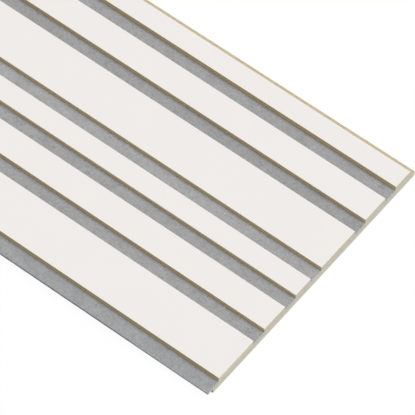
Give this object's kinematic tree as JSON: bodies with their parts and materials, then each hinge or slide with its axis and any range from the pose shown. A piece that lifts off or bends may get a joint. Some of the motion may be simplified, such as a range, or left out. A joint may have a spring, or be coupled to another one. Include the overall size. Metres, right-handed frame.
{
  "type": "acoustic slat wall panel",
  "caption": "Flat acoustic wall panel: long white slats of three widths glued to grey felt on a wood fibre board, with lapped long edges.",
  "frame": {"origin": "middle of the underside of the panel's bounding box, with the panel flat on its board", "axes": "+X along the slats; +Y across them, towards the edge where the board stands out as a ledge; +Z out of the slats' face"},
  "size_m": [2.4, 0.615, 0.029],
  "materials": {
    "slat": "matt white paint on the face, raw fibreboard on the sides and ends",
    "felt": "needled grey melange felt",
    "board": "raw pale wood fibre board"
  },
  "bodies": {
    "root": {"backing_board": "board", "felt_sheet": "felt", "slat_1": "slat", "slat_2": "slat", "slat_3": "slat", "slat_4": "slat", "slat_5": "slat", "slat_6": "slat"}
  },
  "joints": []
}
